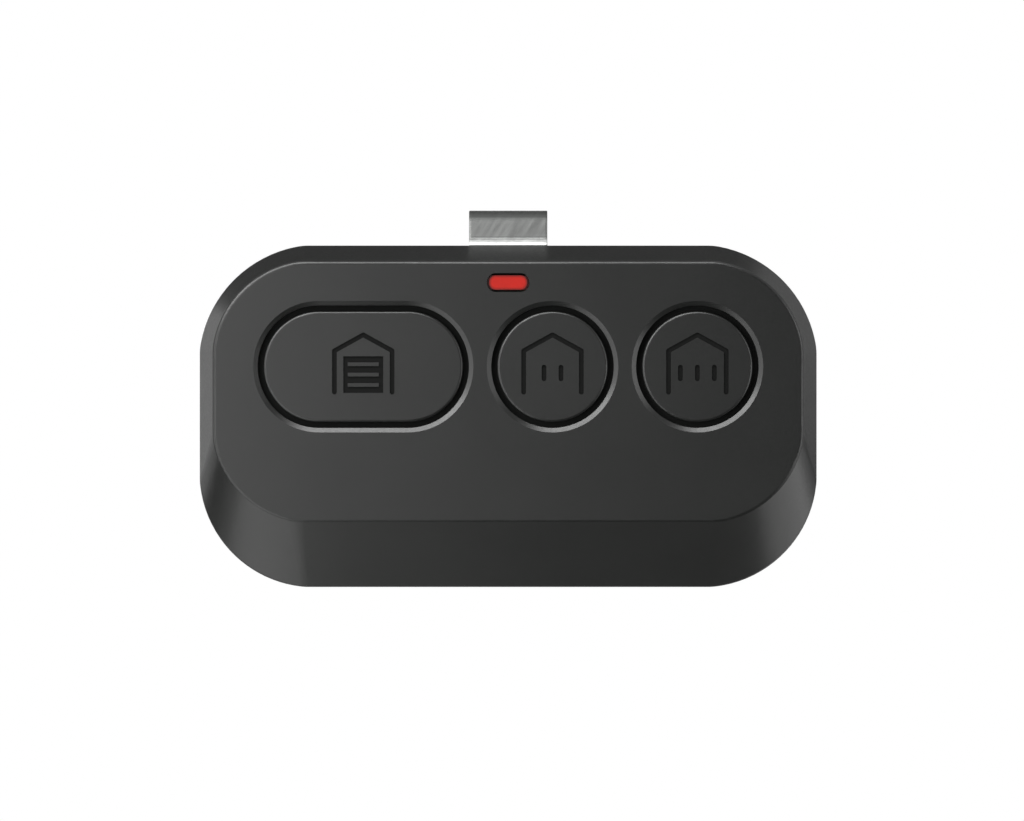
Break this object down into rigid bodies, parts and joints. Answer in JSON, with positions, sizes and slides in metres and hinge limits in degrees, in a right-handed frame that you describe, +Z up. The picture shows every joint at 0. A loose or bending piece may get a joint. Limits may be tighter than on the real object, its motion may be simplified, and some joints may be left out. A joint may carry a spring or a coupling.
{
  "type": "garage door remote",
  "caption": "Palm-size remote control case with a bevelled face, press buttons marked with garage pictograms, a red indicator window and a spring clip for a sun visor.",
  "frame": {"origin": "middle of the rear cover's flat back, where the clip arm presses a sun visor against it", "axes": "+X to the right seen from the front, -Y the way the buttons face, +Z up towards the clip's bend"},
  "size_m": [0.084, 0.0216, 0.0514],
  "materials": {
    "case_plastic": "fine moulded texture, black ABS",
    "button_plastic": "fine moulded texture, black ABS",
    "lens_plastic": "clear red polycarbonate",
    "led_package": "milky resin",
    "board_laminate": "green solder mask",
    "screw_steel": "zinc plated",
    "cell_steel": "nickel plated",
    "seal_plastic": "natural polypropylene",
    "pad_foam": "closed cell foam",
    "holder_plastic": "black nylon",
    "contact_metal": "tin plated",
    "chip_plastic": "black epoxy",
    "capacitor_ceramic": "fired ceramic",
    "plunger_plastic": "black nylon",
    "clip_steel": "rolled spring steel"
  },
  "bodies": {
    "housing": {"front_shell": "case_plastic", "status_lens": "lens_plastic", "status_led": "led_package", "circuit_board": "board_laminate", "board_screws": "screw_steel", "battery_holder": "holder_plastic", "positive_contact": "contact_metal", "negative_contact": "contact_metal", "microcontroller": "chip_plastic", "radio_crystal": "contact_metal", "board_capacitors": "capacitor_ceramic", "board_resistors": "chip_plastic", "loop_antenna": "contact_metal", "large_switch_base": "chip_plastic", "large_snap_dome": "clip_steel", "large_switch_cover": "contact_metal", "middle_switch_base": "chip_plastic", "middle_snap_dome": "clip_steel", "middle_switch_cover": "contact_metal", "right_switch_base": "chip_plastic", "right_snap_dome": "clip_steel", "right_switch_cover": "contact_metal"},
    "large_button": {"large_button": "button_plastic", "large_switch_plunger": "plunger_plastic"},
    "middle_button": {"middle_button": "button_plastic", "middle_switch_plunger": "plunger_plastic"},
    "right_button": {"right_button": "button_plastic", "right_switch_plunger": "plunger_plastic"},
    "rear_cover": {"rear_cover": "case_plastic", "battery_pad": "pad_foam"},
    "battery": {"battery_can": "cell_steel", "battery_seal": "seal_plastic", "battery_cap": "cell_steel"},
    "visor_clip": {"visor_clip_leg": "clip_steel"},
    "clip_arm": {"visor_clip_arm": "clip_steel"}
  },
  "joints": [
    {"name": "large_button_press", "type": "slide", "parent": "housing", "child": "large_button", "axis": [0, 1, 0], "range_m": [0, 0.0005], "stiffness_N_per_m": 1500, "springref_m": -0.0005, "deforming": ["large_snap_dome"]},
    {"name": "middle_button_press", "type": "slide", "parent": "housing", "child": "middle_button", "axis": [0, 1, 0], "range_m": [0, 0.0005], "stiffness_N_per_m": 1500, "springref_m": -0.0005, "deforming": ["middle_snap_dome"]},
    {"name": "right_button_press", "type": "slide", "parent": "housing", "child": "right_button", "axis": [0, 1, 0], "range_m": [0, 0.0005], "stiffness_N_per_m": 1500, "springref_m": -0.0005, "deforming": ["right_snap_dome"]},
    {"name": "rear_cover_off", "type": "slide", "parent": "housing", "child": "rear_cover", "axis": [0, 1, 0], "range_m": [0, 0.02]},
    {"name": "battery_lift", "type": "slide", "parent": "housing", "child": "battery", "axis": [0, 1, 0], "range_m": [0, 0.01]},
    {"name": "clip_slide", "type": "slide", "parent": "rear_cover", "child": "visor_clip", "axis": [0, 0, 1], "range_m": [0, 0.013]},
    {"name": "clip_flex", "type": "hinge", "parent": "visor_clip", "child": "clip_arm", "pos_m": [0, 0.00217, 0.02815], "axis": [1, 0, 0], "range_deg": [0, 16], "stiffness_Nm_per_rad": 0.9, "springref_deg": -2.86}
  ],
  "couplings": [
    {"joint": "battery_lift", "follows": "rear_cover_off", "ratio": 0.5}
  ]
}
